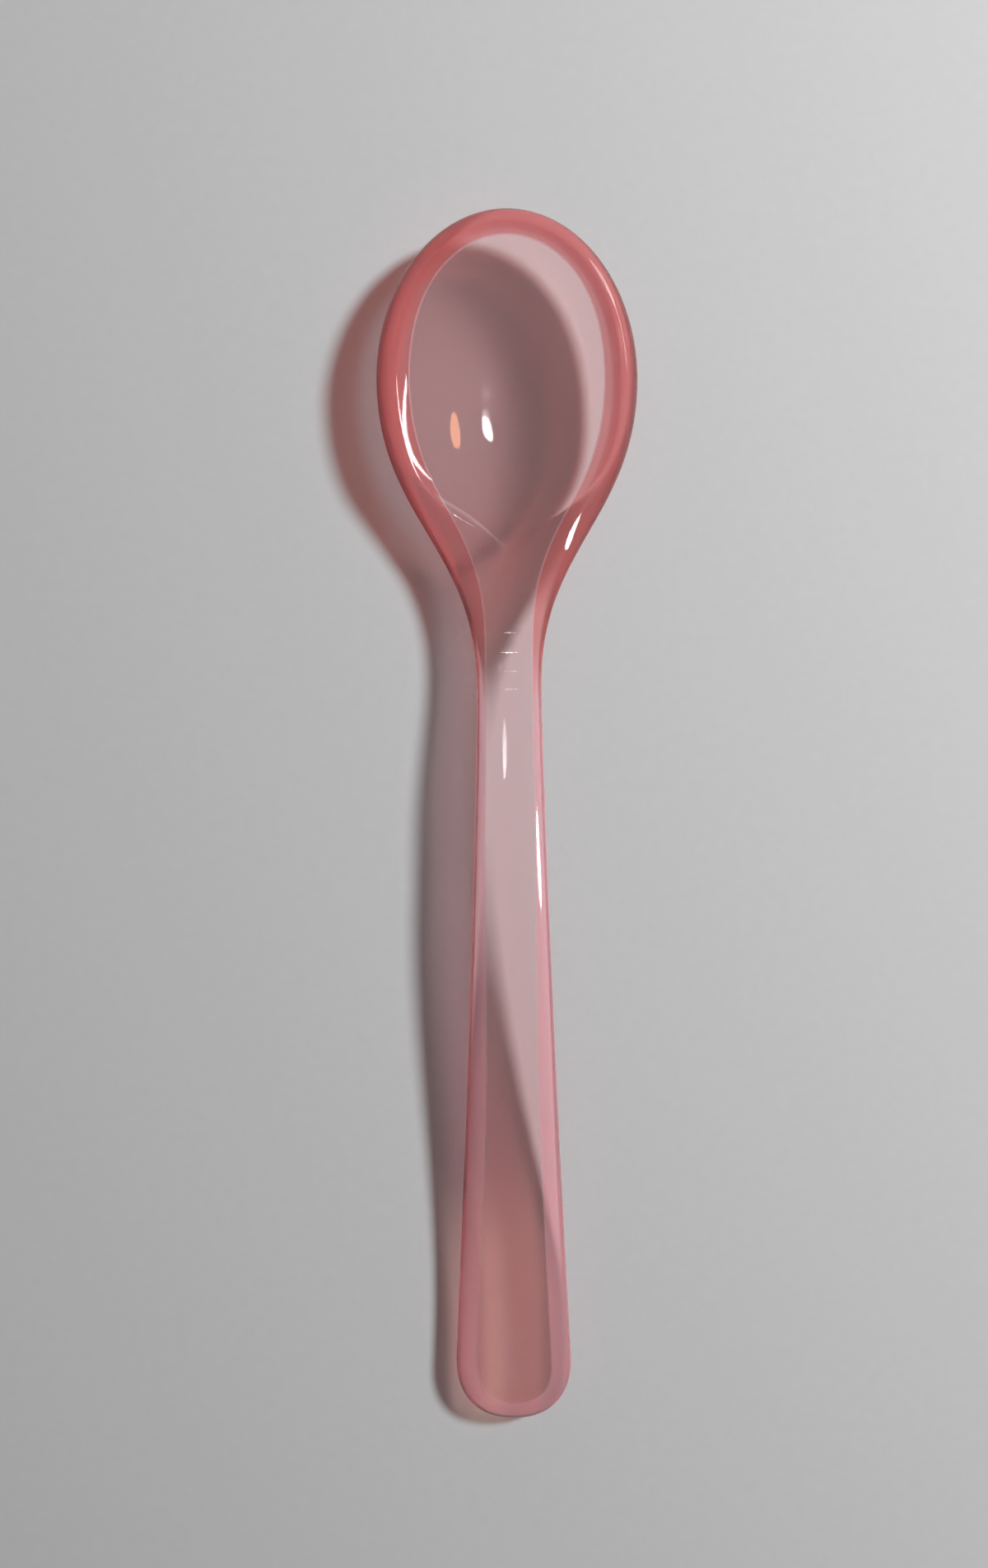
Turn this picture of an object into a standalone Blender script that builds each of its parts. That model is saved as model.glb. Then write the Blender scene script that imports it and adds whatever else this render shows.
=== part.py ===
"""Mixing spoon: one see-through pink plastic moulding, built as half a loft and mirrored.

The spoon lies on a table as it was photographed: bowl up, handle along -Y, tip at +Y, +Z up.
Every size below is in millimetres. The origin is the bottom centre of the bounding box.
"""
import math

import bmesh
import bpy

MM = 0.001

# Plan view, measured along the spoon from the end of the handle
LENGTH = 140.0
HANDLE_WIDTH = 13.4
END_ROUND_LENGTH = 6.9
END_SQUARENESS = 2.3
NECK_WIDTH = 7.5
NECK_AT = 85.5
BOWL_WIDTH = 30.0
BOWL_WIDEST_AT = 120.4
# How far each plan curve holds its direction before it turns
FLARE_REACH_AT_END = 0.6
FLARE_REACH_AT_NECK = 21.3
SHOULDER_REACH_AT_NECK = 15.9
SHOULDER_REACH_AT_BOWL = 15.6

# Plan view of the hollow: a pointed egg inside the rim
HOLLOW_WIDTH = 25.6
HOLLOW_POINT_AT = 100.5
HOLLOW_TIP_AT = 137.8
HOLLOW_POINT_HALF_ANGLE = math.radians(52.0)
HOLLOW_REACH_AT_POINT = 10.5
HOLLOW_REACH_AT_WIDEST = 13.0

# Side view of the top: end, arch of the handle, dip at the neck, rim
END_TOP = 3.8
ARCH_TOP = 7.2
NECK_TOP = 5.6
RIM_TOP = 6.9
TOP_RISES_FROM = 10.0
ARCH_STARTS_AT = 64.0
ARCH_STOPS_AT = 72.0
NECK_LOWEST_AT = 98.0
RIM_LEVEL_FROM = 125.0

# Side view of the underside: flat foot at the end, arch, bottom of the bowl
FOOT_STOPS_AT = 12.0
ARCH_UNDERSIDE = 4.1
FOOT_HALF_WIDTH = 4.2
FOOT_FADES_AT = 46.0
FOOT_NARROWEST = 0.5

# Rim and hollow
RIM_INNER_DROP = 0.2
RIM_OUTER_DROP = 2.1
RIM_INNER_REACH = 0.7
RIM_OUTER_REACH = 1.1
RIM_FORMED_AT = 109.0
FLOOR_THICKNESS = 2.4
FLOOR_DROP_REACH = 2.5
FLOOR_FALL_REACH = 6.2
FLOOR_LEVEL_REACH = 7.5
HOLLOW_FULLNESS = 2.0

# Roundness of the sections: how far along its side each curve keeps its first direction
CROWN_AT_END = 0.86
CROWN_AT_NECK = 0.70
EDGE_ROUNDNESS = 0.56
KEEL_ROUNDNESS = 0.66
BOWL_SIDE_ROUNDNESS = 0.14
BOWL_BELLY_ROUNDNESS = 0.46

# Facets
END_STATIONS = 10
HANDLE_STATIONS = 26
SHOULDER_STATIONS = 11
HOLLOW_STATIONS = 14
NOSE_STATIONS = 22
HOLLOW_FACETS = 11
TOP_FACETS = 11
SIDE_FACETS = 11


def cubic(p0, p1, p2, p3, t):
    """Point at t on a cubic curve with end points p0, p3 and handles p1, p2."""
    u = 1.0 - t
    weights = (u * u * u, 3.0 * u * u * t, 3.0 * u * t * t, t * t * t)
    return tuple(
        sum(w * p[axis] for w, p in zip(weights, (p0, p1, p2, p3)))
        for axis in range(len(p0))
    )


def ease(s, start, stop):
    """Smooth step from 0 at start to 1 at stop."""
    t = min(max((s - start) / (stop - start), 0.0), 1.0)
    return t * t * (3.0 - 2.0 * t)


def mix(a, b, share):
    """Value between a and b."""
    return a + (b - a) * share


def reach_across(curve, s):
    """Half width of a plan curve at distance s, by halving the interval."""
    low = 0.0
    high = 1.0
    for _ in range(48):
        middle = 0.5 * (low + high)
        if cubic(*curve, middle)[1] < s:
            low = middle
        else:
            high = middle
    return cubic(*curve, 0.5 * (low + high))[0]


FLARE = (
    (HANDLE_WIDTH / 2, END_ROUND_LENGTH),
    (HANDLE_WIDTH / 2, END_ROUND_LENGTH + FLARE_REACH_AT_END),
    (NECK_WIDTH / 2, NECK_AT - FLARE_REACH_AT_NECK),
    (NECK_WIDTH / 2, NECK_AT),
)
SHOULDER = (
    (NECK_WIDTH / 2, NECK_AT),
    (NECK_WIDTH / 2, NECK_AT + SHOULDER_REACH_AT_NECK),
    (BOWL_WIDTH / 2, BOWL_WIDEST_AT - SHOULDER_REACH_AT_BOWL),
    (BOWL_WIDTH / 2, BOWL_WIDEST_AT),
)
HOLLOW = (
    (0.0, HOLLOW_POINT_AT),
    (
        HOLLOW_REACH_AT_POINT * math.sin(HOLLOW_POINT_HALF_ANGLE),
        HOLLOW_POINT_AT + HOLLOW_REACH_AT_POINT * math.cos(HOLLOW_POINT_HALF_ANGLE),
    ),
    (HOLLOW_WIDTH / 2, BOWL_WIDEST_AT - HOLLOW_REACH_AT_WIDEST),
    (HOLLOW_WIDTH / 2, BOWL_WIDEST_AT),
)


def half_width(s):
    """Half width of the spoon's outline between its round end and the widest line."""
    return reach_across(FLARE if s < NECK_AT else SHOULDER, s)


def hollow_half_width(s):
    """Half width of the hollow behind the widest line, zero on the neck and handle."""
    return 0.0 if s <= HOLLOW_POINT_AT else reach_across(HOLLOW, s)


def top_height(s):
    """Height of the crown of the handle, neck or rim."""
    arch = mix(END_TOP, ARCH_TOP, ease(s, TOP_RISES_FROM, ARCH_STARTS_AT))
    neck = mix(arch, NECK_TOP, ease(s, ARCH_STOPS_AT, NECK_LOWEST_AT))
    return mix(neck, RIM_TOP, ease(s, NECK_LOWEST_AT, RIM_LEVEL_FROM))


def underside_height(s):
    """Height of the lowest line of the handle, neck and bowl."""
    arch = ARCH_UNDERSIDE * ease(s, FOOT_STOPS_AT, ARCH_STARTS_AT)
    return mix(arch, 0.0, ease(s, ARCH_STOPS_AT, BOWL_WIDEST_AT))


def side_height(s):
    """Height at which the section is widest."""
    handle = 0.5 * (top_height(s) + underside_height(s))
    rim = top_height(s) - RIM_OUTER_DROP
    return mix(handle, rim, ease(s, NECK_AT, RIM_FORMED_AT))


def hollow_edge_height(s):
    """Height of the line where the hollow runs out into the lip of the rim."""
    return top_height(s) - RIM_INNER_DROP * ease(s, HOLLOW_POINT_AT, BOWL_WIDEST_AT)


def floor_height(s):
    """Height of the hollow's floor along the middle, from its point to the widest line."""
    start = top_height(HOLLOW_POINT_AT)
    curve = (
        (start, HOLLOW_POINT_AT),
        (start - FLOOR_DROP_REACH, HOLLOW_POINT_AT + FLOOR_FALL_REACH),
        (FLOOR_THICKNESS, BOWL_WIDEST_AT - FLOOR_LEVEL_REACH),
        (FLOOR_THICKNESS, BOWL_WIDEST_AT),
    )
    return reach_across(curve, s)


def hollow_lean(s, inner):
    """Angle to the level at which the hollow climbs to its edge, inner out from the spine."""
    rise = hollow_edge_height(s) - floor_height(min(s, BOWL_WIDEST_AT))
    return math.atan2(HOLLOW_FULLNESS * rise, inner)


def top_section(s, inner, outer):
    """Section of the upper skin from the middle, or the hollow's edge, to the side.

    At the bowl it goes on in the direction of the hollow and rolls over into the side.
    """
    formed = ease(s, HOLLOW_POINT_AT, RIM_FORMED_AT)
    width = outer - inner
    crown = mix(CROWN_AT_END, CROWN_AT_NECK, ease(s, FOOT_STOPS_AT, NECK_AT)) * width
    lean = hollow_lean(s, inner) * formed if inner > 0.0 else 0.0
    reach = mix(crown, RIM_INNER_REACH, formed)
    low = side_height(s)
    start = hollow_edge_height(s)
    shoulder = mix(EDGE_ROUNDNESS * (top_height(s) - low), RIM_OUTER_REACH, formed)
    return (
        (inner, start),
        (inner + reach * math.cos(lean), start + reach * math.sin(lean)),
        (outer, low + shoulder),
        (outer, low),
    )


def side_section(s, outer, bottom):
    """Section of the outer skin from the side to the flat foot or the lowest line."""
    bowl = ease(s, NECK_AT, RIM_FORMED_AT)
    flat = FOOT_HALF_WIDTH * (1.0 - ease(s, FOOT_STOPS_AT, FOOT_FADES_AT))
    flat = flat if flat > FOOT_NARROWEST else 0.0
    drop = mix(EDGE_ROUNDNESS, BOWL_SIDE_ROUNDNESS, bowl) * (side_height(s) - bottom)
    belly = mix(KEEL_ROUNDNESS, BOWL_BELLY_ROUNDNESS, bowl) * (outer - flat)
    return (
        (outer, side_height(s)),
        (outer, side_height(s) - drop),
        (flat + belly, bottom),
        (flat, bottom),
    )


def stations():
    """Each station of the loft: outline point, hollow edge point and spine point in plan."""
    rows = []
    for i in range(END_STATIONS):
        turn = 0.5 * math.pi * (1.0 - i / END_STATIONS)
        power = 2.0 / END_SQUARENESS
        x = HANDLE_WIDTH / 2 * math.cos(turn) ** power if i else 0.0
        y = END_ROUND_LENGTH * (1.0 - math.sin(turn) ** power)
        rows.append(((x, y), None, (0.0, END_ROUND_LENGTH)))
    spans = (
        (END_ROUND_LENGTH, NECK_AT, HANDLE_STATIONS),
        (NECK_AT, HOLLOW_POINT_AT, SHOULDER_STATIONS),
        (HOLLOW_POINT_AT, BOWL_WIDEST_AT, HOLLOW_STATIONS),
    )
    for start, stop, count in spans:
        for i in range(count):
            s = mix(start, stop, i / count)
            edge = (hollow_half_width(s), s) if s >= HOLLOW_POINT_AT else None
            rows.append(((half_width(s), s), edge, (0.0, s)))
    for i in range(NOSE_STATIONS + 1):
        turn = 0.5 * math.pi * i / NOSE_STATIONS
        across = math.cos(turn) if i < NOSE_STATIONS else 0.0
        along = math.sin(turn)
        outer = (BOWL_WIDTH / 2 * across, mix(BOWL_WIDEST_AT, LENGTH, along))
        edge = (HOLLOW_WIDTH / 2 * across, mix(BOWL_WIDEST_AT, HOLLOW_TIP_AT, along))
        rows.append((outer, edge, (0.0, BOWL_WIDEST_AT)))
    return rows


def plan_point(spine, outer, radius, height):
    """World position of a section point that lies radius out from the spine point."""
    span = math.dist(spine, outer)
    share = radius / span
    x = mix(spine[0], outer[0], share)
    y = mix(spine[1], outer[1], share)
    return (x * MM, (y - LENGTH / 2) * MM, height * MM)


def section_rows(outer, edge, spine):
    """Positions of one station: hollow from the middle out, then top and side to the spine."""
    s = max(outer[1], END_ROUND_LENGTH)
    span = math.dist(spine, outer)
    inner = math.dist(spine, edge) if edge else 0.0
    bottom = underside_height(min(s, BOWL_WIDEST_AT))
    skin = []
    top = top_section(s, inner, span)
    for j in range(TOP_FACETS + 1):
        skin.append(plan_point(spine, outer, *cubic(*top, j / TOP_FACETS)))
    side = side_section(s, span, bottom)
    for j in range(1, SIDE_FACETS + 1):
        skin.append(plan_point(spine, outer, *cubic(*side, j / SIDE_FACETS)))
    if side[3][0] > 0.0:
        skin.append(plan_point(spine, outer, 0.0, bottom))
    else:
        skin.append(skin[-1])
    hollow = []
    if edge:
        floor = floor_height(min(s, BOWL_WIDEST_AT))
        rim = hollow_edge_height(s)
        for j in range(HOLLOW_FACETS + 1):
            share = j / HOLLOW_FACETS
            height = mix(floor, rim, share ** HOLLOW_FULLNESS)
            hollow.append(plan_point(spine, outer, inner * share, height))
    return skin, hollow


def loft(mesh, rows):
    """Skin neighbouring rows of vertices, dropping corners that fall together."""
    for row, following in zip(rows, rows[1:]):
        for j in range(len(row) - 1):
            corners = []
            for vert in (row[j], row[j + 1], following[j + 1], following[j]):
                if vert not in corners:
                    corners.append(vert)
            if len(corners) > 2:
                mesh.faces.new(corners)


def half_spoon():
    """Mesh of the half with X above zero, open along the middle."""
    mesh = bmesh.new()
    placed = {}

    def vert(point):
        key = tuple(round(value, 8) for value in point)
        if key not in placed:
            placed[key] = mesh.verts.new(point)
        return placed[key]

    skins = []
    hollows = []
    for outer, edge, spine in stations():
        skin, hollow = section_rows(outer, edge, spine)
        skins.append([vert(point) for point in skin])
        if hollow:
            hollows.append([vert(point) for point in hollow])
    loft(mesh, skins)
    loft(mesh, hollows)
    for face in mesh.faces:
        face.smooth = True
    return mesh


def pink_plastic():
    """Glossy see-through pink plastic."""
    material = bpy.data.materials.new("pink_plastic")
    material.use_nodes = True
    shader = material.node_tree.nodes["Principled BSDF"]
    shader.inputs["Base Color"].default_value = (0.60, 0.16, 0.17, 1.0)
    shader.inputs["Roughness"].default_value = 0.12
    shader.inputs["Metallic"].default_value = 0.0
    shader.inputs["IOR"].default_value = 1.49
    shader.inputs["Transmission Weight"].default_value = 0.85
    return material


def main():
    """Clear the scene and build the spoon."""
    for thing in list(bpy.data.objects):
        bpy.data.objects.remove(thing, do_unlink=True)
    data = bpy.data.meshes.new("spoon")
    mesh = half_spoon()
    mesh.to_mesh(data)
    mesh.free()
    data.materials.append(pink_plastic())
    spoon = bpy.data.objects.new("spoon", data)
    bpy.context.scene.collection.objects.link(spoon)
    halves = spoon.modifiers.new("both_halves", "MIRROR")
    halves.use_axis = (True, False, False)
    halves.use_clip = True
    halves.merge_threshold = 0.00001


main()
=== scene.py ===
"""Looks of the mixing spoon: one see-through pink plastic moulding on a plain pale floor.

The spoon's mesh repeats the sizes of the solid it stands for, at a finer pitch, with the edge of
its hollow rounded over. Sizes of the spoon are in millimetres, and those of its finish, the floor,
the lamps and the camera in metres, as in Blender.
"""
import logging
import math
from dataclasses import dataclass, field
from enum import Enum
from typing import Iterable, Optional, Union

import bmesh
import bpy
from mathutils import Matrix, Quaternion, Vector


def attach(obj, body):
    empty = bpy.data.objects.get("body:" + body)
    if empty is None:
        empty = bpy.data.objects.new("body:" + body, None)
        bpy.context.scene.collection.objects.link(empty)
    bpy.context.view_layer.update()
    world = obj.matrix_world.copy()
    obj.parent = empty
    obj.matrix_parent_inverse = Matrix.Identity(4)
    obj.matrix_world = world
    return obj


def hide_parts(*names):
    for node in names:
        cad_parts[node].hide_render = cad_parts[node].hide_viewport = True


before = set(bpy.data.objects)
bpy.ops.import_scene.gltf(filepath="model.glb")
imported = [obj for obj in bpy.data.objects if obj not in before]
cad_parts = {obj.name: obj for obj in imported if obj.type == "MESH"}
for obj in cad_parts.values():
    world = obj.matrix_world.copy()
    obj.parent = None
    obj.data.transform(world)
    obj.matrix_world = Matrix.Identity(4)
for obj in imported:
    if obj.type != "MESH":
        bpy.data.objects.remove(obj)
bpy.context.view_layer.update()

MM = 0.001
QUARTER_TURN = 0.5 * math.pi
HALVINGS = 48
MERGE_GAP = 0.000002
GRID_SIZE = 2.0
CREASE_SLACK = 0.01
CREASE_LEVEL_SLACK = 0.05
LEAST_SHARE = 0.001
LOG = logging.getLogger("mixing_spoon")

Point2 = tuple[float, float]
Point3 = tuple[float, float, float]
Curve = tuple[Point2, Point2, Point2, Point2]


def cubic(curve: Curve, t: float) -> Point2:
    """Find a point on a cubic curve.

    Args:
        curve: End point, handle, handle and end point.
        t: Place along the curve, 0 to 1.

    Returns:
        The point's two coordinates.
    """
    u = 1.0 - t
    weights = (u * u * u, 3.0 * u * u * t, 3.0 * u * t * t, t * t * t)
    first = sum(w * p[0] for w, p in zip(weights, curve))
    second = sum(w * p[1] for w, p in zip(weights, curve))
    return first, second


def reach_across(curve: Curve, s: float) -> float:
    """Find a curve's first coordinate where its second one is s.

    Args:
        curve: A curve whose second coordinate always grows.
        s: The second coordinate looked for.

    Returns:
        The first coordinate there.
    """
    low, high = 0.0, 1.0
    for _ in range(HALVINGS):
        middle = 0.5 * (low + high)
        if cubic(curve, middle)[1] < s:
            low = middle
        else:
            high = middle
    return cubic(curve, 0.5 * (low + high))[0]


def ease(s: float, start: float, stop: float) -> float:
    """Step smoothly from 0 to 1.

    Args:
        s: Place along the spoon.
        start: Place where the step leaves 0.
        stop: Place where it reaches 1.

    Returns:
        A share from 0 to 1.
    """
    t = min(max((s - start) / (stop - start), 0.0), 1.0)
    return t * t * (3.0 - 2.0 * t)


def mix(a: float, b: float, share: float) -> float:
    """Return the value that lies a share of the way from a to b."""
    return a + (b - a) * share


def ranged(tree: bpy.types.NodeTree, value: bpy.types.NodeSocket, span: Point2,
           result: Point2) -> bpy.types.NodeSocket:
    """Step smoothly from one value to another as a socket runs over a span.

    Args:
        tree: The material's nodes.
        value: The socket read.
        span: Where the step starts and stops.
        result: The values before and after the step.

    Returns:
        The socket with the result.
    """
    node = tree.nodes.new("ShaderNodeMapRange")
    node.interpolation_type = "SMOOTHSTEP"
    node.inputs["From Min"].default_value, node.inputs["From Max"].default_value = span
    node.inputs["To Min"].default_value, node.inputs["To Max"].default_value = result
    tree.links.new(value, node.inputs["Value"])
    return node.outputs["Result"]


def combined(tree: bpy.types.NodeTree, operation: str, first: bpy.types.NodeSocket,
             second: Optional[Union[bpy.types.NodeSocket, float]] = None) -> bpy.types.NodeSocket:
    """Work one sum on one or two values.

    Args:
        tree: The material's nodes.
        operation: Name of the sum.
        first: The first socket read.
        second: The second socket or a plain number, where the sum has one.

    Returns:
        The socket with the result.
    """
    node = tree.nodes.new("ShaderNodeMath")
    node.operation = operation
    tree.links.new(first, node.inputs[0])
    if isinstance(second, float):
        node.inputs[1].default_value = second
    elif second is not None:
        tree.links.new(second, node.inputs[1])
    return node.outputs["Value"]


def blended(tree: bpy.types.NodeTree, share: bpy.types.NodeSocket,
            first: Union[bpy.types.NodeSocket, Point3],
            second: Union[bpy.types.NodeSocket, Point3]) -> bpy.types.NodeSocket:
    """Blend two colours.

    Args:
        tree: The material's nodes.
        share: The socket that runs from 0, the first colour, to 1, the second.
        first: The first colour, plain or from a socket.
        second: The second colour, plain or from a socket.

    Returns:
        The socket with the blend.
    """
    node = tree.nodes.new("ShaderNodeMix")
    node.data_type = "RGBA"
    tree.links.new(share, node.inputs["Factor"])
    for colour, name in ((first, "A"), (second, "B")):
        socket = next(s for s in node.inputs if s.name == name and s.type == "RGBA")
        if isinstance(colour, tuple):
            socket.default_value = (*colour, 1.0)
        else:
            tree.links.new(colour, socket)
    return next(s for s in node.outputs if s.type == "RGBA")


def noise(tree: bpy.types.NodeTree, place: bpy.types.NodeSocket, scale: float,
          detail: float) -> bpy.types.NodeSocket:
    """Add a noise over the surface.

    Args:
        tree: The material's nodes.
        place: The socket that gives the place.
        scale: Noise cells to the metre.
        detail: Octaves of finer noise.

    Returns:
        The socket with the noise.
    """
    node = tree.nodes.new("ShaderNodeTexNoise")
    node.inputs["Scale"].default_value = scale
    node.inputs["Detail"].default_value = detail
    tree.links.new(place, node.inputs["Vector"])
    return node.outputs["Fac"]


def bumped(tree: bpy.types.NodeTree, height: bpy.types.NodeSocket, strength: float, depth: float,
           under: Optional[bpy.types.NodeSocket] = None) -> bpy.types.NodeSocket:
    """Turn a height into a relief.

    Args:
        tree: The material's nodes.
        height: The socket with the height.
        strength: How much of the relief shows.
        depth: The relief's depth, in metres.
        under: A relief that this one lies on.

    Returns:
        The socket with the relief's normal.
    """
    node = tree.nodes.new("ShaderNodeBump")
    node.inputs["Strength"].default_value = strength
    node.inputs["Distance"].default_value = depth
    tree.links.new(height, node.inputs["Height"])
    if under is not None:
        tree.links.new(under, node.inputs["Normal"])
    return node.outputs["Normal"]


def aside_and_along(tree: bpy.types.NodeTree, place: bpy.types.NodeSocket
                    ) -> tuple[bpy.types.NodeSocket, bpy.types.NodeSocket]:
    """Split a place on the spoon.

    Args:
        tree: The material's nodes.
        place: The socket that gives the place.

    Returns:
        The sockets with the distance from the middle plane and the place along the spoon.
    """
    split = tree.nodes.new("ShaderNodeSeparateXYZ")
    tree.links.new(place, split.inputs["Vector"])
    return combined(tree, "ABSOLUTE", split.outputs["X"]), split.outputs["Y"]


def show_mixed(tree: bpy.types.NodeTree, share: bpy.types.NodeSocket,
               first: bpy.types.NodeSocket, second: bpy.types.NodeSocket) -> None:
    """Make a mix of two shaders the material's surface.

    Args:
        tree: The material's nodes.
        share: The socket that runs from 0, the first shader, to 1, the second.
        first: The first shader.
        second: The second shader.
    """
    surface = tree.nodes.new("ShaderNodeMixShader")
    for source, socket in zip((share, first, second), surface.inputs):
        tree.links.new(source, socket)
    tree.links.new(surface.outputs["Shader"], tree.nodes["Material Output"].inputs["Surface"])


@dataclass
class Plan:
    """Outline of the spoon and of its hollow from above, in mm from the handle's end."""

    length: float = 140.0
    handle_width: float = 13.4
    end_round_length: float = 6.9
    end_squareness: float = 2.3
    neck_width: float = 7.5
    neck_at: float = 85.5
    bowl_width: float = 30.0
    bowl_widest_at: float = 120.4
    flare_reach_at_end: float = 0.6
    flare_reach_at_neck: float = 21.3
    shoulder_reach_at_neck: float = 15.9
    shoulder_reach_at_bowl: float = 15.6
    hollow_width: float = 25.6
    hollow_point_at: float = 100.5
    hollow_tip_at: float = 137.8
    hollow_point_half_angle: float = math.radians(52.0)
    hollow_reach_at_point: float = 10.5
    hollow_reach_at_widest: float = 13.0

    def flare(self) -> Curve:
        """Draw the side of the handle, from its end to the neck.

        Returns:
            The curve of half width and place along the spoon.
        """
        wide, slim = self.handle_width / 2, self.neck_width / 2
        return (
            (wide, self.end_round_length),
            (wide, self.end_round_length + self.flare_reach_at_end),
            (slim, self.neck_at - self.flare_reach_at_neck),
            (slim, self.neck_at),
        )

    def shoulder(self) -> Curve:
        """Draw the side of the bowl, from the neck to the widest line.

        Returns:
            The curve of half width and place along the spoon.
        """
        slim, wide = self.neck_width / 2, self.bowl_width / 2
        return (
            (slim, self.neck_at),
            (slim, self.neck_at + self.shoulder_reach_at_neck),
            (wide, self.bowl_widest_at - self.shoulder_reach_at_bowl),
            (wide, self.bowl_widest_at),
        )

    def hollow(self) -> Curve:
        """Draw the edge of the hollow, from its point to the widest line.

        Returns:
            The curve of half width and place along the spoon.
        """
        reach, angle = self.hollow_reach_at_point, self.hollow_point_half_angle
        wide = self.hollow_width / 2
        return (
            (0.0, self.hollow_point_at),
            (reach * math.sin(angle), self.hollow_point_at + reach * math.cos(angle)),
            (wide, self.bowl_widest_at - self.hollow_reach_at_widest),
            (wide, self.bowl_widest_at),
        )

    def half_width(self, s: float) -> float:
        """Return the outline's half width between the round end and the widest line."""
        return reach_across(self.flare() if s < self.neck_at else self.shoulder(), s)

    def hollow_half_width(self, s: float) -> float:
        """Return the hollow's half width, which is zero on the neck and handle."""
        return 0.0 if s <= self.hollow_point_at else reach_across(self.hollow(), s)


@dataclass
class SideView:
    """Heights of the spoon's top and underside as it lies on the table, in mm."""

    end_top: float = 3.8
    arch_top: float = 7.2
    neck_top: float = 5.6
    rim_top: float = 6.9
    top_rises_from: float = 10.0
    arch_starts_at: float = 64.0
    arch_stops_at: float = 72.0
    neck_lowest_at: float = 98.0
    rim_level_from: float = 125.0
    foot_stops_at: float = 12.0
    arch_underside: float = 4.1

    def top(self, s: float) -> float:
        """Find the height of the crown of the handle, neck or rim.

        Args:
            s: Place along the spoon.

        Returns:
            The height above the table.
        """
        arch = mix(self.end_top, self.arch_top, ease(s, self.top_rises_from, self.arch_starts_at))
        neck = mix(arch, self.neck_top, ease(s, self.arch_stops_at, self.neck_lowest_at))
        return mix(neck, self.rim_top, ease(s, self.neck_lowest_at, self.rim_level_from))

    def underside(self, s: float, bowl_at: float) -> float:
        """Return the height of the lowest line, which touches the table at bowl_at."""
        arch = self.arch_underside * ease(s, self.foot_stops_at, self.arch_starts_at)
        return mix(arch, 0.0, ease(s, self.arch_stops_at, bowl_at))


@dataclass
class Sections:
    """Shape of the rim, the hollow and the handle where they are cut across, in mm."""

    rim_inner_drop: float = 0.2
    rim_outer_drop: float = 2.1
    rim_inner_reach: float = 0.7
    rim_outer_reach: float = 1.1
    rim_formed_at: float = 109.0
    floor_thickness: float = 2.4
    floor_drop_reach: float = 2.5
    floor_fall_reach: float = 6.2
    floor_level_reach: float = 7.5
    hollow_fullness: float = 2.0
    hollow_edge_round: float = 0.5
    crease_stops_at: float = 105.5
    crease_segments: int = 4
    crease_profile: float = 0.5
    foot_half_width: float = 4.2
    foot_fades_at: float = 46.0
    foot_narrowest: float = 0.5
    crown_at_end: float = 0.86
    crown_at_neck: float = 0.70
    edge_roundness: float = 0.56
    keel_roundness: float = 0.66
    bowl_side_roundness: float = 0.14
    bowl_belly_roundness: float = 0.46


@dataclass
class Pitch:
    """How many steps the spoon's mesh takes along and across each stretch."""

    end: int = 20
    handle: int = 60
    shoulder: int = 26
    hollow: int = 34
    nose: int = 44
    hollow_across: int = 26
    top_across: int = 22
    side_across: int = 22


@dataclass
class Station:
    """One cut through the spoon: points in plan on its outline, hollow edge and spine."""

    outer: Point2
    spine: Point2
    edge: Optional[Point2] = None


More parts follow.
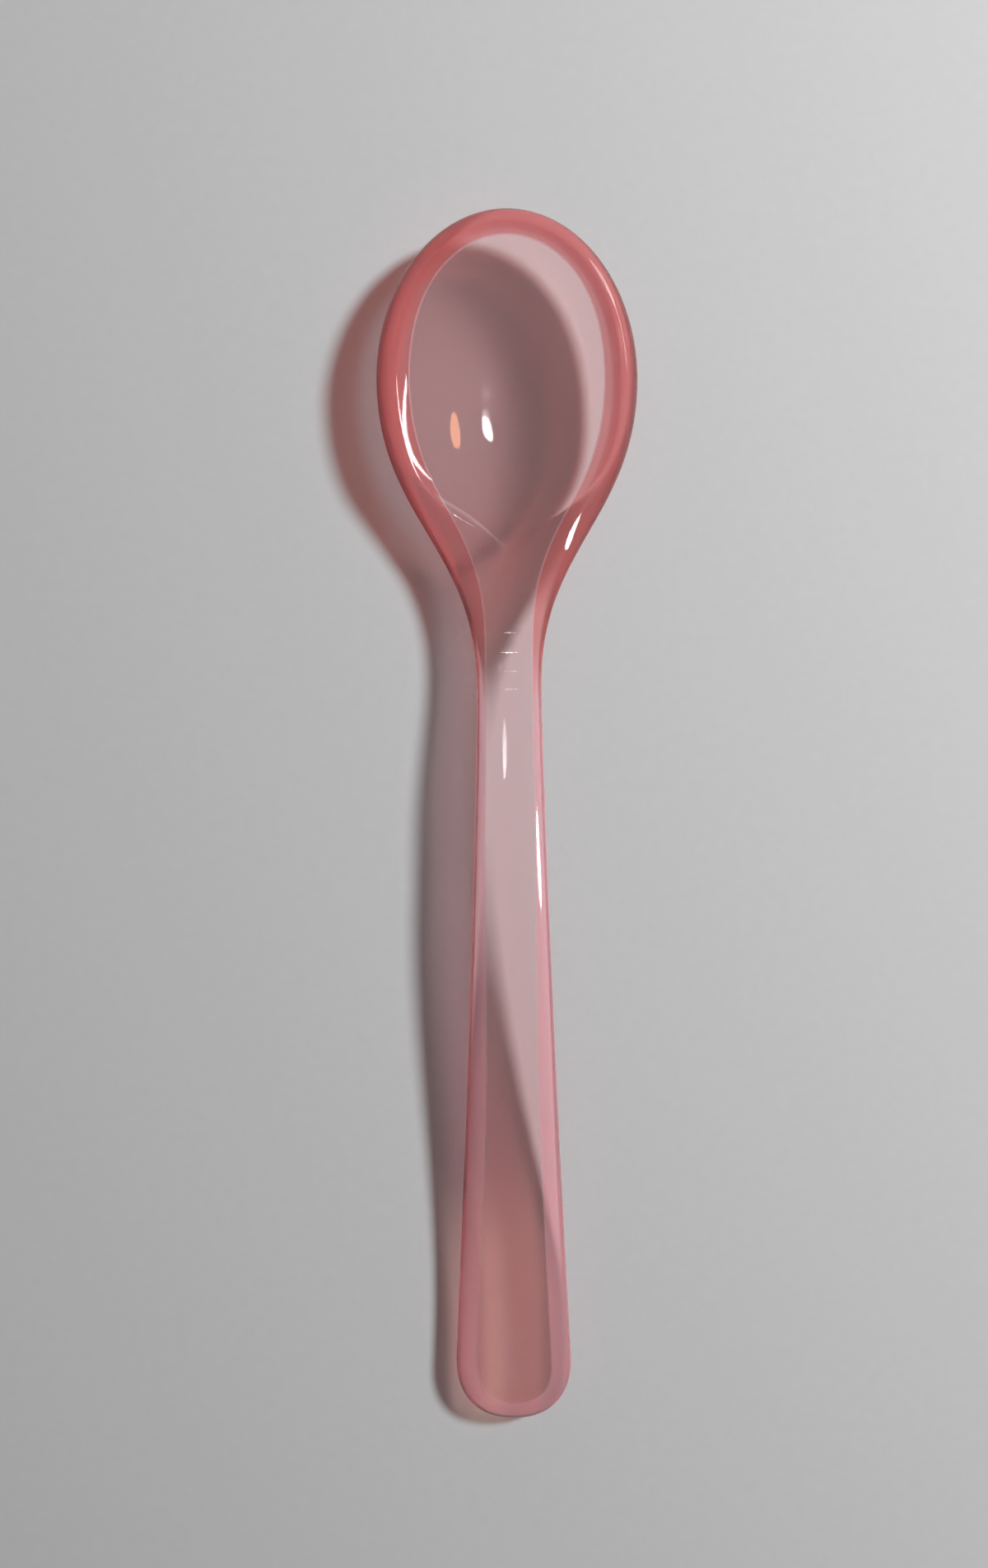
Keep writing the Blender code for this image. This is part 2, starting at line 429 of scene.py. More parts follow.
@dataclass(frozen=True)
class PinkPlastic:
    """Finish of the moulding: glossy and clear where it is thin, and coral in the edge band, where
    the thick plastic's deeper pink is painted on together with a painted glow of light caught in
    the rim.

    Lengths are in metres, but band_softness is in mm, as the marks on the mesh are. Scales are in
    cells to the metre, and spans are the stretches of a noise that show.
    """

    name: str = "pink_plastic"
    depth_attribute: str = "band_depth"
    tint_attribute: str = "band_tint"
    band_softness: float = 0.4
    clear_colour: Point3 = (1.0, 0.945, 0.945)
    # Pale and coral band colours: the thick plastic's deeper pink, with a painted glow of light
    # caught in the rim and a paler painted glow along the handle's edges.
    pale_pink_and_glow_colour: Point3 = (0.95, 0.52, 0.57)
    pale_band_tint: float = 0.5
    coral_and_glow_colour: Point3 = (0.80, 0.27, 0.29)
    warm_coral_and_glow_colour: Point3 = (0.86, 0.28, 0.25)
    warm_scale: float = 55.0
    warm_detail: float = 2.0
    depth_colour: Point3 = (0.93, 0.045, 0.085)
    depth_density: float = 92.0
    refraction: float = 1.49
    glow: float = 1.0
    glow_reach: Point3 = (1.0, 0.4, 0.4)
    glow_scale: float = 0.0025
    clearness: float = 0.975
    pale_band_clearness: float = 0.68
    band_clearness: float = 0.80
    shadow_clear: Point3 = (0.64, 0.60, 0.60)
    shadow_dark: Point3 = (0.10, 0.08, 0.08)
    shadow_band: Point3 = (0.60, 0.38, 0.34)
    shadow_core: Point3 = (0.88, 0.92, 0.84)
    core_half_width: float = 0.0025
    core_fades_at: float = 0.0039
    core_full_to: float = -0.052
    core_stops_at: float = -0.036
    slant_blend: float = 0.5
    slant_clear: float = 0.32
    slant_dark: float = 0.62
    roughness_low: float = 0.03
    roughness_high: float = 0.09
    smudge_scale: float = 95.0
    smudge_detail: float = 5.0
    smudge_span: Point2 = (0.35, 0.75)
    scuff_scale: float = 1500.0
    scuff_detail: float = 3.0
    scuff_strength: float = 0.25
    scuff_depth: float = 0.000004
    ripple_from: float = 0.0112
    ripple_to: float = 0.022
    ripple_half_width: float = 0.0014
    ripple_side_fade: float = 0.00056
    ripple_start_fade: float = 0.00324
    ripple_end_fade: float = 0.000972
    ripple_scale: float = 900.0
    ripple_detail: float = 1.0
    ripple_span: Point2 = (0.52, 0.66)
    ripple_break_scale: float = 420.0
    ripple_break_span: Point2 = (0.42, 0.58)
    ripple_strength: float = 1.0
    ripple_depth: float = 0.00005

    def material(self) -> bpy.types.Material:
        """Build the node material.

        Returns:
            The finished material.
        """
        material = bpy.data.materials.new(self.name)
        material.use_nodes = True
        tree = material.node_tree
        shader = tree.nodes["Principled BSDF"]
        shader.inputs["Metallic"].default_value = 0.0
        shader.inputs["IOR"].default_value = self.refraction
        shader.inputs["Subsurface Weight"].default_value = self.glow
        shader.inputs["Subsurface Radius"].default_value = self.glow_reach
        shader.inputs["Subsurface Scale"].default_value = self.glow_scale
        place = tree.nodes.new("ShaderNodeTexCoord").outputs["Object"]
        band = self.edge_band(tree)
        self.tint(tree, shader, place, band)
        self.gloss(tree, shader, place)
        self.relief(tree, shader, place)
        self.let_lamps_through(tree, shader, place, band)
        depth = tree.nodes.new("ShaderNodeVolumeAbsorption")
        depth.inputs["Color"].default_value = (*self.depth_colour, 1.0)
        depth.inputs["Density"].default_value = self.depth_density
        tree.links.new(depth.outputs["Volume"], tree.nodes["Material Output"].inputs["Volume"])
        return material

    def edge_band(self, tree: bpy.types.NodeTree) -> bpy.types.NodeSocket:
        """Read where the edge band lies and how strong it is; the band carries the thick plastic's
        deeper pink and a painted glow.

        Args:
            tree: The material's nodes.

        Returns:
            The socket that runs from 0, clear, to 1, full coral.
        """
        depth = tree.nodes.new("ShaderNodeAttribute")
        depth.attribute_name = self.depth_attribute
        strength = tree.nodes.new("ShaderNodeAttribute")
        strength.attribute_name = self.tint_attribute
        inside = ranged(tree, depth.outputs["Fac"], (-self.band_softness, 0.0), (0.0, 1.0))
        return combined(tree, "MULTIPLY", inside, strength.outputs["Fac"])

    def tint(self, tree: bpy.types.NodeTree, shader: bpy.types.Node,
             place: bpy.types.NodeSocket, band: bpy.types.NodeSocket) -> None:
        """Colour the edge band coral and make it less clear than the rest. This paints a glow of
        light caught in the thick rim on top of the plastic's deeper pink, and a paler painted glow
        along the handle's edges.

        Args:
            tree: The material's nodes.
            shader: Its surface shader.
            place: The socket that gives the place on the spoon.
            band: The socket that says where the edge band is.
        """
        # Painted glow: coral on the rim and pale pink on the handle's edges, laid over the thick
        # plastic's deeper pink; the warm patches only vary its tone.
        patches = noise(tree, place, self.warm_scale, self.warm_detail)
        coral = blended(tree, patches, self.coral_and_glow_colour, self.warm_coral_and_glow_colour)
        edge = ranged(tree, band, (0.0, self.pale_band_tint), (0.0, 1.0))
        core = ranged(tree, band, (self.pale_band_tint, 1.0), (0.0, 1.0))
        pale = blended(tree, edge, self.clear_colour, self.pale_pink_and_glow_colour)
        colour = blended(tree, core, pale, coral)
        tree.links.new(colour, shader.inputs["Base Color"])
        clear = ranged(tree, band, (0.0, self.pale_band_tint),
                       (self.clearness, self.pale_band_clearness))
        gain = ranged(tree, band, (self.pale_band_tint, 1.0),
                      (0.0, self.band_clearness - self.pale_band_clearness))
        tree.links.new(combined(tree, "ADD", clear, gain), shader.inputs["Transmission Weight"])

    def gloss(self, tree: bpy.types.NodeTree, shader: bpy.types.Node,
              place: bpy.types.NodeSocket) -> None:
        """Vary the gloss with faint smudges.

        Args:
            tree: The material's nodes.
            shader: Its surface shader.
            place: The socket that gives the place on the spoon.
        """
        smudge = noise(tree, place, self.smudge_scale, self.smudge_detail)
        rough = ranged(tree, smudge, self.smudge_span, (self.roughness_low, self.roughness_high))
        tree.links.new(rough, shader.inputs["Roughness"])

    def relief(self, tree: bpy.types.NodeTree, shader: bpy.types.Node,
               place: bpy.types.NodeSocket) -> None:
        """Add very fine scuffs, and the faint ripples across the middle of the neck.

        Args:
            tree: The material's nodes.
            shader: Its surface shader.
            place: The socket that gives the place on the spoon.
        """
        fine = noise(tree, place, self.scuff_scale, self.scuff_detail)
        scuffs = bumped(tree, fine, self.scuff_strength, self.scuff_depth)
        aside, along = aside_and_along(tree, place)
        wave = tree.nodes.new("ShaderNodeTexNoise")
        wave.noise_dimensions = "1D"
        wave.inputs["Scale"].default_value = self.ripple_scale
        wave.inputs["Detail"].default_value = self.ripple_detail
        tree.links.new(along, wave.inputs["W"])
        height = ranged(tree, wave.outputs["Fac"], self.ripple_span, (0.0, 1.0))
        side, start, stop = self.ripple_half_width, self.ripple_from, self.ripple_to
        gaps = noise(tree, place, self.ripple_break_scale, self.ripple_detail)
        limits = (
            ranged(tree, aside, (side - self.ripple_side_fade, side), (1.0, 0.0)),
            ranged(tree, gaps, self.ripple_break_span, (0.0, 1.0)),
            ranged(tree, along, (start, start + self.ripple_start_fade), (0.0, 1.0)),
            ranged(tree, along, (stop - self.ripple_end_fade, stop), (1.0, 0.0)),
        )
        for limit in limits:
            height = combined(tree, "MULTIPLY", height, limit)
        normal = bumped(tree, height, self.ripple_strength, self.ripple_depth, scuffs)
        tree.links.new(normal, shader.inputs["Normal"])

    def let_lamps_through(self, tree: bpy.types.NodeTree, shader: bpy.types.Node,
                          place: bpy.types.NodeSocket, band: bpy.types.NodeSocket) -> None:
        """Let lamp light pass on to the floor, less at a slant and more in the handle's core.

        Args:
            tree: The material's nodes.
            shader: Its surface shader.
            place: The socket that gives the place on the spoon.
            band: The socket that says where the edge band is.
        """
        slant = tree.nodes.new("ShaderNodeLayerWeight")
        slant.inputs["Blend"].default_value = self.slant_blend
        away = ranged(tree, slant.outputs["Facing"], (self.slant_clear, self.slant_dark),
                      (0.0, 1.0))
        plate = blended(tree, away, self.shadow_clear, self.shadow_dark)
        aside, along = aside_and_along(tree, place)
        middle = ranged(tree, aside, (self.core_half_width, self.core_fades_at), (1.0, 0.0))
        end = ranged(tree, along, (self.core_full_to, self.core_stops_at), (1.0, 0.0))
        core = combined(tree, "MULTIPLY", middle, end)
        plate = blended(tree, core, plate, self.shadow_core)
        through = tree.nodes.new("ShaderNodeBsdfTransparent")
        tree.links.new(blended(tree, band, plate, self.shadow_band), through.inputs["Color"])
        shadow = tree.nodes.new("ShaderNodeLightPath").outputs["Is Shadow Ray"]
        show_mixed(tree, shadow, shader.outputs["BSDF"], through.outputs["BSDF"])


@dataclass
class EdgeBand:
    """Thick edge of the moulding in plan, where deeper pink and a painted glow are laid on: how
    wide it is, in mm, and how strongly it is tinted.
    """

    width_at_end: float = 2.1
    width_at_neck: float = 0.95
    width_at_bowl: float = 3.6
    width_at_tip: float = 3.2
    narrows_from: float = 30.0
    narrowest_at: float = 78.0
    widens_from: float = 86.5
    full_at: float = 105.0
    tint_on_handle: float = 0.5
    tint_rises_from: float = 79.0
    tint_full_at: float = 94.0
    underside_starts: float = 0.8
    underside_full: float = 2.6

    def width(self, s: float) -> float:
        """Find the band's width behind the hollow.

        Args:
            s: Place along the spoon.

        Returns:
            The width in plan.
        """
        handle = mix(self.width_at_end, self.width_at_neck,
                     ease(s, self.narrows_from, self.narrowest_at))
        return mix(handle, self.width_at_bowl, ease(s, self.widens_from, self.full_at))

    def tint(self, s: float) -> float:
        """Return how strongly the band is tinted, 0 to 1."""
        return mix(self.tint_on_handle, 1.0, ease(s, self.tint_rises_from, self.tint_full_at))


@dataclass
class MixingSpoon:
    """The one moulding: bowl, rim, neck and handle."""

    name: str = "spoon_moulding"
    node: str = "spoon"
    slot: str = "pink_plastic"
    plan: Plan = field(default_factory=Plan)
    view: SideView = field(default_factory=SideView)
    cut: Sections = field(default_factory=Sections)
    band: EdgeBand = field(default_factory=EdgeBand)
    pitch: Pitch = field(default_factory=Pitch)

    def underside(self, s: float) -> float:
        """Return the height of the lowest line at s."""
        return self.view.underside(s, self.plan.bowl_widest_at)

    def side_height(self, s: float) -> float:
        """Find the height at which the section is widest.

        Args:
            s: Place along the spoon.

        Returns:
            The height above the table.
        """
        handle = 0.5 * (self.view.top(s) + self.underside(s))
        rim = self.view.top(s) - self.cut.rim_outer_drop
        return mix(handle, rim, ease(s, self.plan.neck_at, self.cut.rim_formed_at))

    def hollow_edge_height(self, s: float) -> float:
        """Return the height of the line where the hollow runs out into the lip of the rim."""
        drop = ease(s, self.plan.hollow_point_at, self.plan.bowl_widest_at)
        return self.view.top(s) - self.cut.rim_inner_drop * drop

    def floor_height(self, s: float) -> float:
        """Find the height of the hollow's floor along the middle.

        Args:
            s: Place along the spoon, from the hollow's point to the widest line.

        Returns:
            The height above the table.
        """
        start = self.view.top(self.plan.hollow_point_at)
        point, widest = self.plan.hollow_point_at, self.plan.bowl_widest_at
        curve = (
            (start, point),
            (start - self.cut.floor_drop_reach, point + self.cut.floor_fall_reach),
            (self.cut.floor_thickness, widest - self.cut.floor_level_reach),
            (self.cut.floor_thickness, widest),
        )
        return reach_across(curve, s)

    def hollow_lean(self, s: float, inner: float) -> float:
        """Return the angle at which the hollow climbs to its edge, inner out from the spine."""
        rise = self.hollow_edge_height(s) - self.floor_height(min(s, self.plan.bowl_widest_at))
        return math.atan2(self.cut.hollow_fullness * rise, inner)

    def top_section(self, s: float, inner: float, outer: float) -> Curve:
        """Cut the upper skin from the middle, or the hollow's edge, to the side.

        Args:
            s: Place along the spoon.
            inner: Distance from the spine at which the skin starts.
            outer: Distance from the spine to the outline.

        Returns:
            The section as a curve of distance and height.
        """
        cut = self.cut
        formed = ease(s, self.plan.hollow_point_at, cut.rim_formed_at)
        flatness = mix(cut.crown_at_end, cut.crown_at_neck,
                       ease(s, self.view.foot_stops_at, self.plan.neck_at))
        lean = self.hollow_lean(s, inner) * formed if inner > 0.0 else 0.0
        reach = mix(flatness * (outer - inner), cut.rim_inner_reach, formed)
        low, start = self.side_height(s), self.hollow_edge_height(s)
        shoulder = mix(cut.edge_roundness * (self.view.top(s) - low), cut.rim_outer_reach, formed)
        return (
            (inner, start),
            (inner + reach * math.cos(lean), start + reach * math.sin(lean)),
            (outer, low + shoulder),
            (outer, low),
        )

    def side_section(self, s: float, outer: float, bottom: float) -> Curve:
        """Cut the outer skin from the side to the flat foot or the lowest line.

        Args:
            s: Place along the spoon.
            outer: Distance from the spine to the outline.
            bottom: Height of the lowest line.

        Returns:
            The section as a curve of distance and height.
        """
        cut = self.cut
        bowl = ease(s, self.plan.neck_at, cut.rim_formed_at)
        fade = ease(s, self.view.foot_stops_at, cut.foot_fades_at)
        flat = cut.foot_half_width * (1.0 - fade)
        flat = flat if flat > cut.foot_narrowest else 0.0
        side = self.side_height(s)
        drop = mix(cut.edge_roundness, cut.bowl_side_roundness, bowl) * (side - bottom)
        belly = mix(cut.keel_roundness, cut.bowl_belly_roundness, bowl) * (outer - flat)
        return ((outer, side), (outer, side - drop), (flat + belly, bottom), (flat, bottom))

    def stations(self) -> list[Station]:
        """Place the cuts from the handle's end to the tip.

        Returns:
            The cuts in order, fanned round at the handle's end and at the nose.
        """
        plan, pitch = self.plan, self.pitch
        rows: list[Station] = []
        power = 2.0 / plan.end_squareness
        for i in range(pitch.end):
            turn = QUARTER_TURN * (1.0 - i / pitch.end)
            x = plan.handle_width / 2 * math.cos(turn) ** power if i else 0.0
            y = plan.end_round_length * (1.0 - math.sin(turn) ** power)
            rows.append(Station((x, y), (0.0, plan.end_round_length)))
        spans = (
            (plan.end_round_length, plan.neck_at, pitch.handle),
            (plan.neck_at, plan.hollow_point_at, pitch.shoulder),
            (plan.hollow_point_at, plan.bowl_widest_at, pitch.hollow),
        )
        for start, stop, count in spans:
            for i in range(count):
                s = mix(start, stop, i / count)
                edge = (plan.hollow_half_width(s), s) if s >= plan.hollow_point_at else None
                rows.append(Station((plan.half_width(s), s), (0.0, s), edge))
        for i in range(pitch.nose + 1):
            turn = QUARTER_TURN * i / pitch.nose
            across = math.cos(turn) if i < pitch.nose else 0.0
            along = math.sin(turn)
            outer = (plan.bowl_width / 2 * across, mix(plan.bowl_widest_at, plan.length, along))
            edge = (plan.hollow_width / 2 * across,
                    mix(plan.bowl_widest_at, plan.hollow_tip_at, along))
            rows.append(Station(outer, (0.0, plan.bowl_widest_at), edge))
        return rows

    def place(self, station: Station, radius: float, height: float) -> Vector:
        """Turn a section's distance and height into a place in the scene.

        Args:
            station: The cut that the section lies in.
            radius: Distance from the spine, in mm.
            height: Height above the table, in mm.

        Returns:
            The place in metres.
        """
        share = radius / math.dist(station.spine, station.outer)
        x = mix(station.spine[0], station.outer[0], share)
        y = mix(station.spine[1], station.outer[1], share)
        return Vector((x, y - self.plan.length / 2, height)) * MM

    def skin_row(self, station: Station) -> list[Vector]:
        """Cut through the upper and outer skin.

        Args:
            station: Where the cut lies.

        Returns:
            The cut's points, from the middle or the hollow's edge round to the spine.
        """
        s = max(station.outer[1], self.plan.end_round_length)
        span = math.dist(station.spine, station.outer)
        inner = math.dist(station.spine, station.edge) if station.edge else 0.0
        bottom = self.underside(min(s, self.plan.bowl_widest_at))
        top = self.top_section(s, inner, span)
        side = self.side_section(s, span, bottom)
        tops, sides = self.pitch.top_across, self.pitch.side_across
        row = [self.place(station, *cubic(top, j / tops)) for j in range(tops + 1)]
        row += [self.place(station, *cubic(side, j / sides)) for j in range(1, sides + 1)]
        row.append(self.place(station, 0.0, bottom))
        return row

    def hollow_row(self, station: Station) -> list[Vector]:
        """Cut through the hollow.

        Args:
            station: Where the cut lies.

        Returns:
            The cut's points, from the middle out to the hollow's edge.
        """
        s = station.outer[1]
        inner = math.dist(station.spine, station.edge)
        low = self.floor_height(min(s, self.plan.bowl_widest_at))
        high = self.hollow_edge_height(s)
        row = []
        for j in range(self.pitch.hollow_across + 1):
            share = j / self.pitch.hollow_across
            height = mix(low, high, share ** self.cut.hollow_fullness)
            row.append(self.place(station, inner * share, height))
        return row

    def build(self) -> bpy.types.Object:
        """Model the spoon.

        Returns:
            The finished piece, at the origin, with its place in its mesh.
        """
        stations = self.stations()
        skin = shaped_grid("skin", [self.skin_row(station) for station in stations])
        hollow = shaped_grid("hollow", [self.hollow_row(st) for st in stations if st.edge])
        piece = joined(self.name, (skin, hollow))
        weld(piece)
        mirror(piece)
        self.round_hollow_edge(piece)
        smooth(piece)
        return piece

    def round_hollow_edge(self, piece: bpy.types.Object) -> None:
        """Round over the V where the neck drops into the hollow.

        Args:
            piece: The spoon, both halves in one mesh.
        """
        select_only(piece)
        bpy.ops.object.mode_set(mode="EDIT")
        bpy.ops.mesh.select_mode(type="EDGE")
        bpy.ops.mesh.select_all(action="DESELECT")
        mesh = bmesh.from_edit_mesh(piece.data)
        for edge in mesh.edges:
            edge.select = all(self.on_crease(vert.co) for vert in edge.verts)
        chosen = sum(edge.select for edge in mesh.edges)
        bmesh.update_edit_mesh(piece.data)
        LOG.info("hollow crease: %d edges", chosen)
        bpy.ops.mesh.bevel(offset=self.cut.hollow_edge_round * MM, offset_type="OFFSET",
                           segments=self.cut.crease_segments, profile=self.cut.crease_profile,
                           affect="EDGES", clamp_overlap=True)
        bpy.ops.object.mode_set(mode="OBJECT")

    def on_crease(self, place: Vector) -> bool:
        """Tell whether a point of the mesh lies on the V of the hollow's edge.

        Args:
            place: The point, in metres.

        Returns:
            True on the V.
        """
        x, s = abs(place.x) / MM, place.y / MM + self.plan.length / 2
        if not self.plan.hollow_point_at - CREASE_SLACK <= s <= self.cut.crease_stops_at:
            return False
        aside = x - self.plan.hollow_half_width(s)
        level = place.z / MM - self.hollow_edge_height(s)
        return abs(aside) < CREASE_SLACK and abs(level) < CREASE_LEVEL_SLACK

    def band_depth(self, x: float, y: float) -> tuple[float, float]:
        """Find how far inside the edge band a point lies in plan.

        Args:
            x: Distance from the middle plane, in mm.
            y: Distance from the handle's end, in mm.

        Returns:
            The distance from the band's inner line, above zero inside the band, and the tint there.
        """
        plan = self.plan
        if y > plan.bowl_widest_at:
            along = plan.length - plan.bowl_widest_at
            turn = math.atan2((y - plan.bowl_widest_at) / along, 2.0 * x / plan.bowl_width)
            radius = math.hypot(x, y - plan.bowl_widest_at)
            inner = math.hypot((plan.bowl_width / 2 - self.band.width_at_bowl) * math.cos(turn),
                               (along - self.band.width_at_tip) * math.sin(turn))
            return radius - inner, 1.0
        if y < plan.end_round_length:
            power = plan.end_squareness
            across = 2.0 * x / plan.handle_width
            along = 1.0 - y / plan.end_round_length
            share = (across ** power + along ** power) ** (1.0 / power)
            span = math.hypot(x, plan.end_round_length - y)
            outer = span / share if share > LEAST_SHARE else plan.end_round_length
            return span - outer + self.band.width(y), self.band.tint(y)
        return x - plan.half_width(y) + self.band.width(y), self.band.tint(y)

    def paint_band(self, piece: bpy.types.Object, finish: PinkPlastic) -> None:
        """Mark on the mesh how deep in the edge band, with its painted glow, each point is, with a
        soft start underneath.

        Args:
            piece: The finished mesh.
            finish: The plastic that reads the marks.
        """
        depths = piece.data.attributes.new(finish.depth_attribute, "FLOAT", "POINT")
        tints = piece.data.attributes.new(finish.tint_attribute, "FLOAT", "POINT")
        starts, full = self.band.underside_starts, self.band.underside_full
        for vert in piece.data.vertices:
            x, y = abs(vert.co.x) / MM, vert.co.y / MM + self.plan.length / 2
            depth, tint = self.band_depth(x, y)
            if vert.normal.z < 0.0:
                depth = (depth - full) / (full - starts) * finish.band_softness
            depths.data[vert.index].value = depth
            tints.data[vert.index].value = tint

    def dress(self, piece: bpy.types.Object, finish: PinkPlastic) -> None:
        """Give the spoon its finish and tie it to the frame.

        Args:
            piece: The finished mesh.
            finish: The plastic.
        """
        self.paint_band(piece, finish)
        piece.data.materials.clear()
        piece.data.materials.append(finish.material())
        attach(piece, "root")
        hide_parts(self.node)


def deselect_all() -> None:
    """Leave edit mode and select nothing."""
    if bpy.context.object and bpy.context.object.mode != "OBJECT":
        bpy.ops.object.mode_set(mode="OBJECT")
    bpy.ops.object.select_all(action="DESELECT")


def select_only(piece: bpy.types.Object) -> None:
    """Make one object the only selected and the active one.

    Args:
        piece: The object.
    """
    deselect_all()
    piece.select_set(True)
    bpy.context.view_layer.objects.active = piece


def shaped_grid(name: str, rows: list[list[Vector]]) -> bpy.types.Object:
    """Add a grid and move its points onto the cuts of a loft.

    Args:
        name: Name of the new object.
        rows: The cuts, all with as many points.

    Returns:
        The shaped grid.
    """
    deselect_all()
    across, along = len(rows[0]) - 1, len(rows) - 1
    bpy.ops.mesh.primitive_grid_add(x_subdivisions=across, y_subdivisions=along, size=GRID_SIZE)
    piece = bpy.context.object
    piece.name = name
    bpy.ops.object.mode_set(mode="EDIT")
    mesh = bmesh.from_edit_mesh(piece.data)
    for vert in mesh.verts:
        column = round((vert.co.x / GRID_SIZE + 0.5) * across)
        row = round((vert.co.y / GRID_SIZE + 0.5) * along)
        vert.co = rows[row][column]
    bmesh.update_edit_mesh(piece.data)
    bpy.ops.object.mode_set(mode="OBJECT")
    return piece


def joined(name: str, pieces: Iterable[bpy.types.Object]) -> bpy.types.Object:
    """Join pieces into one object.

    Args:
        name: Name of the result.
        pieces: The objects to join, the first of which takes the rest.

    Returns:
        The joined object.
    """
    pieces = list(pieces)
    select_only(pieces[0])
    for piece in pieces[1:]:
        piece.select_set(True)
    bpy.ops.object.join()
    pieces[0].name = name
    pieces[0].data.name = name
    return pieces[0]


def weld(piece: bpy.types.Object, closed: bool = False) -> None:
    """Merge points that fall together.

    Args:
        piece: The object.
        closed: True for a whole shell, whose faces are then turned outwards.
    """
    select_only(piece)
    bpy.ops.object.mode_set(mode="EDIT")
    bpy.ops.mesh.select_all(action="SELECT")
    bpy.ops.mesh.remove_doubles(threshold=MERGE_GAP)
    if closed:
        bpy.ops.mesh.normals_make_consistent(inside=False)
    bpy.ops.object.mode_set(mode="OBJECT")


def mirror(piece: bpy.types.Object) -> None:
    """Add the other half across the middle plane and close the shell.

    Args:
        piece: The half with X above zero.
    """
    select_only(piece)
    halves = piece.modifiers.new("both_halves", "MIRROR")
    halves.use_axis = (True, False, False)
    halves.use_clip = True
    halves.merge_threshold = MERGE_GAP
    bpy.ops.object.modifier_apply(modifier=halves.name)
    weld(piece, closed=True)


def smooth(piece: bpy.types.Object) -> None:
    """Shade the whole piece smooth."""
    select_only(piece)
    bpy.ops.object.shade_smooth()


class LampRole(Enum):
    """What a lamp does for the picture."""

    KEY = "key"
    STREAK = "streak"
    CEILING = "ceiling"
    GLINT = "glint"
    SIDE = "side"
    RIM = "rim"
    CROWN = "crown"
    RIPPLE = "ripple"


@dataclass(frozen=True)
class Lamp:
    """A soft oval lamp, which either lights the spoon or is only mirrored in its gloss."""

    role: LampRole
    place: Point3
    size: Point2
    watts: float
    mirrored: bool = True
    roll: float = 0.0
    colour: Point3 = (1.0, 1.0, 1.0)
    target: Point3 = (0.0, 0.0, 0.0)
    spread: float = math.pi

    def add(self) -> bpy.types.Object:
        """Add the lamp.

        Returns:
            The lamp's object.
        """
        light = bpy.data.lights.new(f"{self.role.value}_lamp", "AREA")
        light.shape = "ELLIPSE"
        light.size, light.size_y = self.size
        light.energy = self.watts
        light.color = self.colour
        light.spread = self.spread
        lamp = bpy.data.objects.new(light.name, light)
        lamp.visible_diffuse = not self.mirrored
        lamp.visible_glossy = self.mirrored
        lamp.visible_transmission = False
        lamp.visible_camera = False
        lamp.location = self.place
        aim = (Vector(self.target) - Vector(self.place)).to_track_quat("-Z", "Y")
        lamp.rotation_euler = (aim @ Quaternion((0.0, 0.0, 1.0), self.roll)).to_euler()
        bpy.context.scene.collection.objects.link(lamp)
        return lamp


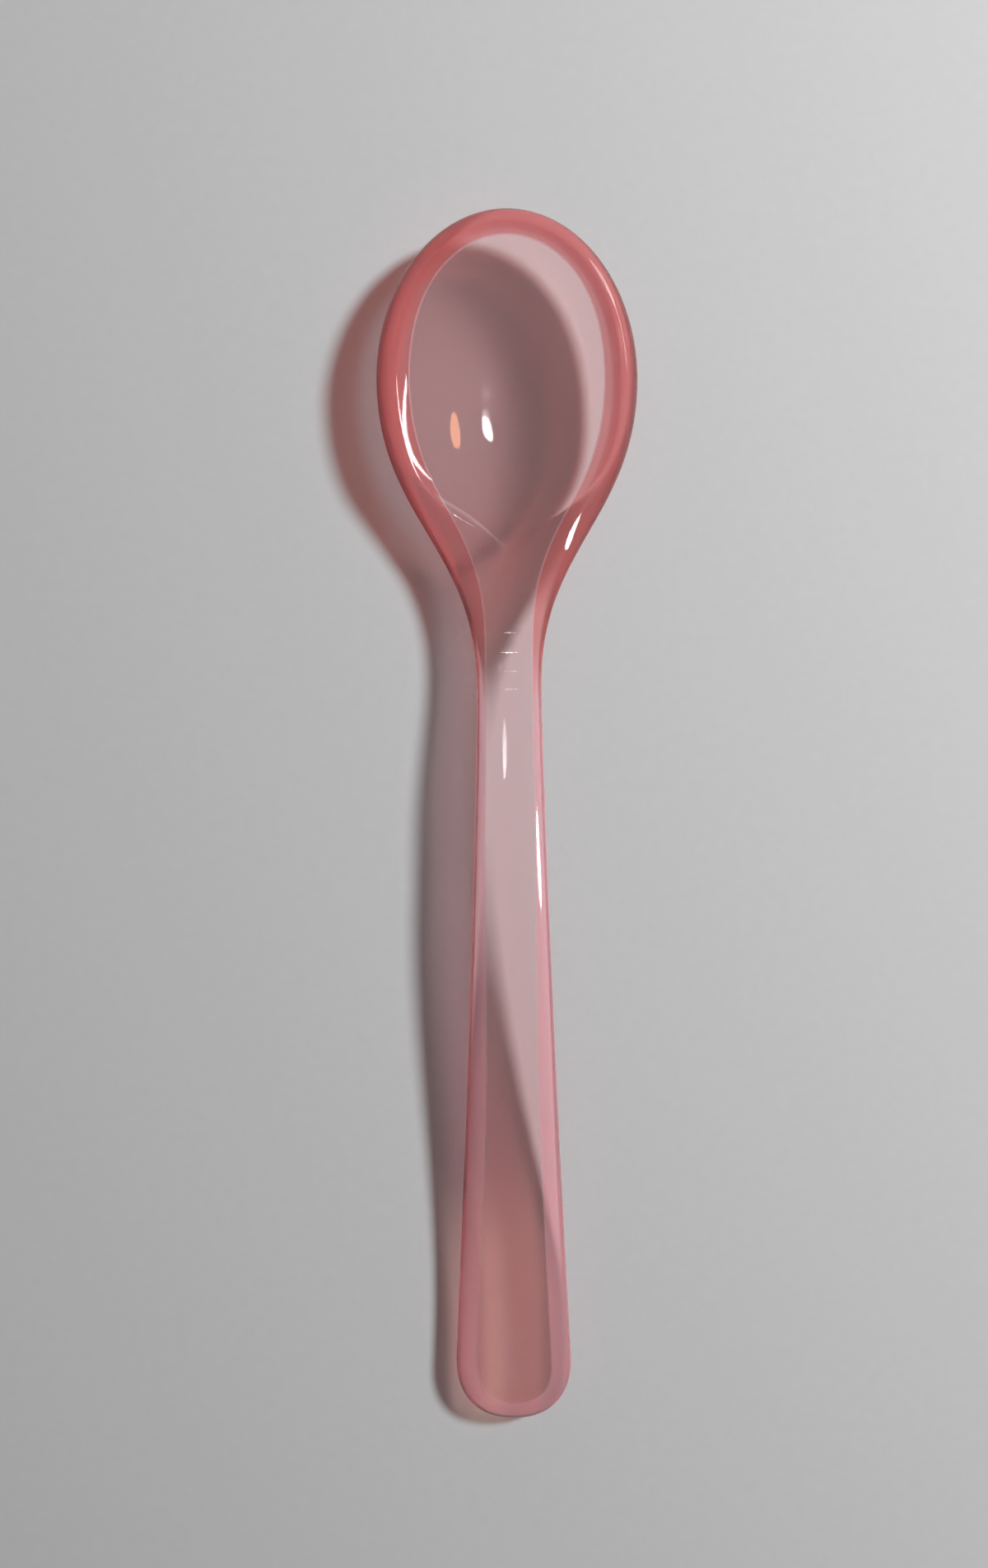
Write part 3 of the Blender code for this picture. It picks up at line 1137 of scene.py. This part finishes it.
@dataclass
class Studio:
    """Pale floor, soft lamps and an even pale surround."""

    floor_half_size: float = 4.0
    floor_gap: float = 0.00005
    floor_colour: Point3 = (0.60, 0.60, 0.605)
    floor_roughness: float = 0.75
    grain: float = 0.03
    grain_scale: float = 700.0
    grain_detail: float = 4.0
    fade_from: float = 0.12
    fade_to: float = 0.42
    surround_colour: Point3 = (0.86, 0.86, 0.87)
    surround_light: float = 0.12
    surround_shown: float = 0.8
    shown_depth: float = 0.5
    lamps: tuple[Lamp, ...] = (
        Lamp(LampRole.KEY, (0.435, 0.222, 0.382), (0.10, 0.10), 4.4, mirrored=False),
        Lamp(LampRole.STREAK, (0.288, 0.26, 0.48), (0.07, 0.045), 0.1,
             colour=(1.0, 0.42, 0.18)),
        Lamp(LampRole.CEILING, (0.0186, 0.0814, 0.0943), (0.0095, 0.0028), 0.004),
        Lamp(LampRole.GLINT, (0.4313, 0.3068, 0.3104), (0.28, 0.022), 0.36,
             roll=math.radians(-12.0)),
        Lamp(LampRole.SIDE, (0.075, -0.01, 0.075), (0.022, 0.022), 0.055),
        Lamp(LampRole.RIM, (0.0207, 0.0709, 0.014), (0.010, 0.008), 0.00014,
             target=(0.0112, 0.0622, 0.0065), spread=math.radians(60.0)),
        Lamp(LampRole.CROWN, (-0.0035, 0.0132, 0.0447), (0.012, 0.003), 0.00012,
             target=(0.003, 0.0132, 0.007), spread=math.radians(50.0)),
        Lamp(LampRole.RIPPLE, (0.0004, 0.0073, 0.0436), (0.028, 0.006), 0.0003,
             target=(0.0004, 0.0175, 0.0066), spread=math.radians(28.0)),
    )

    def floor(self) -> bpy.types.Object:
        """Lay the floor just under the spoon.

        Returns:
            The floor's object.
        """
        deselect_all()
        bpy.ops.mesh.primitive_plane_add(size=2.0 * self.floor_half_size,
                                         location=(0.0, 0.0, -self.floor_gap))
        floor = bpy.context.object
        floor.name = "floor"
        floor.data.materials.append(self.floor_finish())
        return floor

    def floor_finish(self) -> bpy.types.Material:
        """Make the floor dull and faintly grained, and fade it into the surround far away.

        Returns:
            The floor's material.
        """
        material = bpy.data.materials.new("pale_floor")
        material.use_nodes = True
        tree = material.node_tree
        shader = tree.nodes["Principled BSDF"]
        shader.inputs["Roughness"].default_value = self.floor_roughness
        shader.inputs["Specular IOR Level"].default_value = 0.0
        place = tree.nodes.new("ShaderNodeTexCoord").outputs["Object"]
        grain = noise(tree, place, self.grain_scale, self.grain_detail)
        dark = tuple(c * (1.0 - self.grain) for c in self.floor_colour)
        pale = tuple(c * (1.0 + self.grain) for c in self.floor_colour)
        tree.links.new(blended(tree, grain, dark, pale), shader.inputs["Base Color"])
        far = tree.nodes.new("ShaderNodeVectorMath")
        far.operation = "LENGTH"
        tree.links.new(place, far.inputs[0])
        fade = ranged(tree, far.outputs["Value"], (self.fade_from, self.fade_to), (0.0, 1.0))
        seen = tree.nodes.new("ShaderNodeLightPath").outputs["Is Camera Ray"]
        backdrop = tree.nodes.new("ShaderNodeEmission")
        backdrop.inputs["Color"].default_value = (*self.surround_colour, 1.0)
        backdrop.inputs["Strength"].default_value = self.surround_shown
        share = combined(tree, "MULTIPLY", fade, seen)
        show_mixed(tree, share, shader.outputs["BSDF"], backdrop.outputs["Emission"])
        return material

    def surround(self) -> None:
        """Set an even world: pale to the eye, in gloss and through the plastic, softer as light."""
        world = bpy.data.worlds.new("surround")
        world.use_nodes = True
        tree = world.node_tree
        path = tree.nodes.new("ShaderNodeLightPath").outputs
        seen = combined(tree, "MAXIMUM", path["Is Camera Ray"], path["Is Glossy Ray"])
        seen = combined(tree, "MAXIMUM", seen, path["Is Transmission Ray"])
        first_hand = combined(tree, "LESS_THAN", path["Diffuse Depth"], self.shown_depth)
        seen = combined(tree, "MULTIPLY", seen, first_hand)
        sky = tree.nodes["Background"]
        sky.inputs["Color"].default_value = (*self.surround_colour, 1.0)
        tree.links.new(ranged(tree, seen, (0.0, 1.0), (self.surround_light, self.surround_shown)),
                       sky.inputs["Strength"])
        bpy.context.scene.world = world

    def build(self) -> None:
        """Lay the floor, set the surround and hang the lamps."""
        self.floor()
        self.surround()
        for lamp in self.lamps:
            lamp.add()
            LOG.info("%s lamp at %s", lamp.role.value, lamp.place)


@dataclass(frozen=True)
class PhotoCamera:
    """Camera straight above the spoon, as close as the photograph was taken."""

    place: Point3 = (-0.001823, 0.003997, 0.162)
    roll: float = math.radians(-0.4145)
    lens: float = 31.43
    sensor: float = 36.0
    clip_start: float = 0.005
    clip_end: float = 50.0

    def add(self) -> bpy.types.Object:
        """Add the camera and make it the scene's own.

        Returns:
            The camera's object.
        """
        data = bpy.data.cameras.new("photo_camera")
        data.sensor_fit = "VERTICAL"
        data.sensor_height = self.sensor
        data.lens = self.lens
        data.clip_start = self.clip_start
        data.clip_end = self.clip_end
        camera = bpy.data.objects.new("photo_camera", data)
        camera.location = self.place
        camera.rotation_euler = (0.0, 0.0, self.roll)
        bpy.context.scene.collection.objects.link(camera)
        bpy.context.scene.camera = camera
        return camera


def main() -> None:
    """Build the spoon, then the studio and camera."""
    logging.basicConfig(level=logging.INFO, format="%(name)s: %(message)s")
    spoon = MixingSpoon()
    piece = spoon.build()
    spoon.dress(piece, PinkPlastic())
    LOG.info("%s: %d faces", piece.name, len(piece.data.polygons))
    Studio().build()
    PhotoCamera().add()
    bpy.context.scene.view_settings.view_transform = "Standard"


if __name__ == "__main__":
    main()
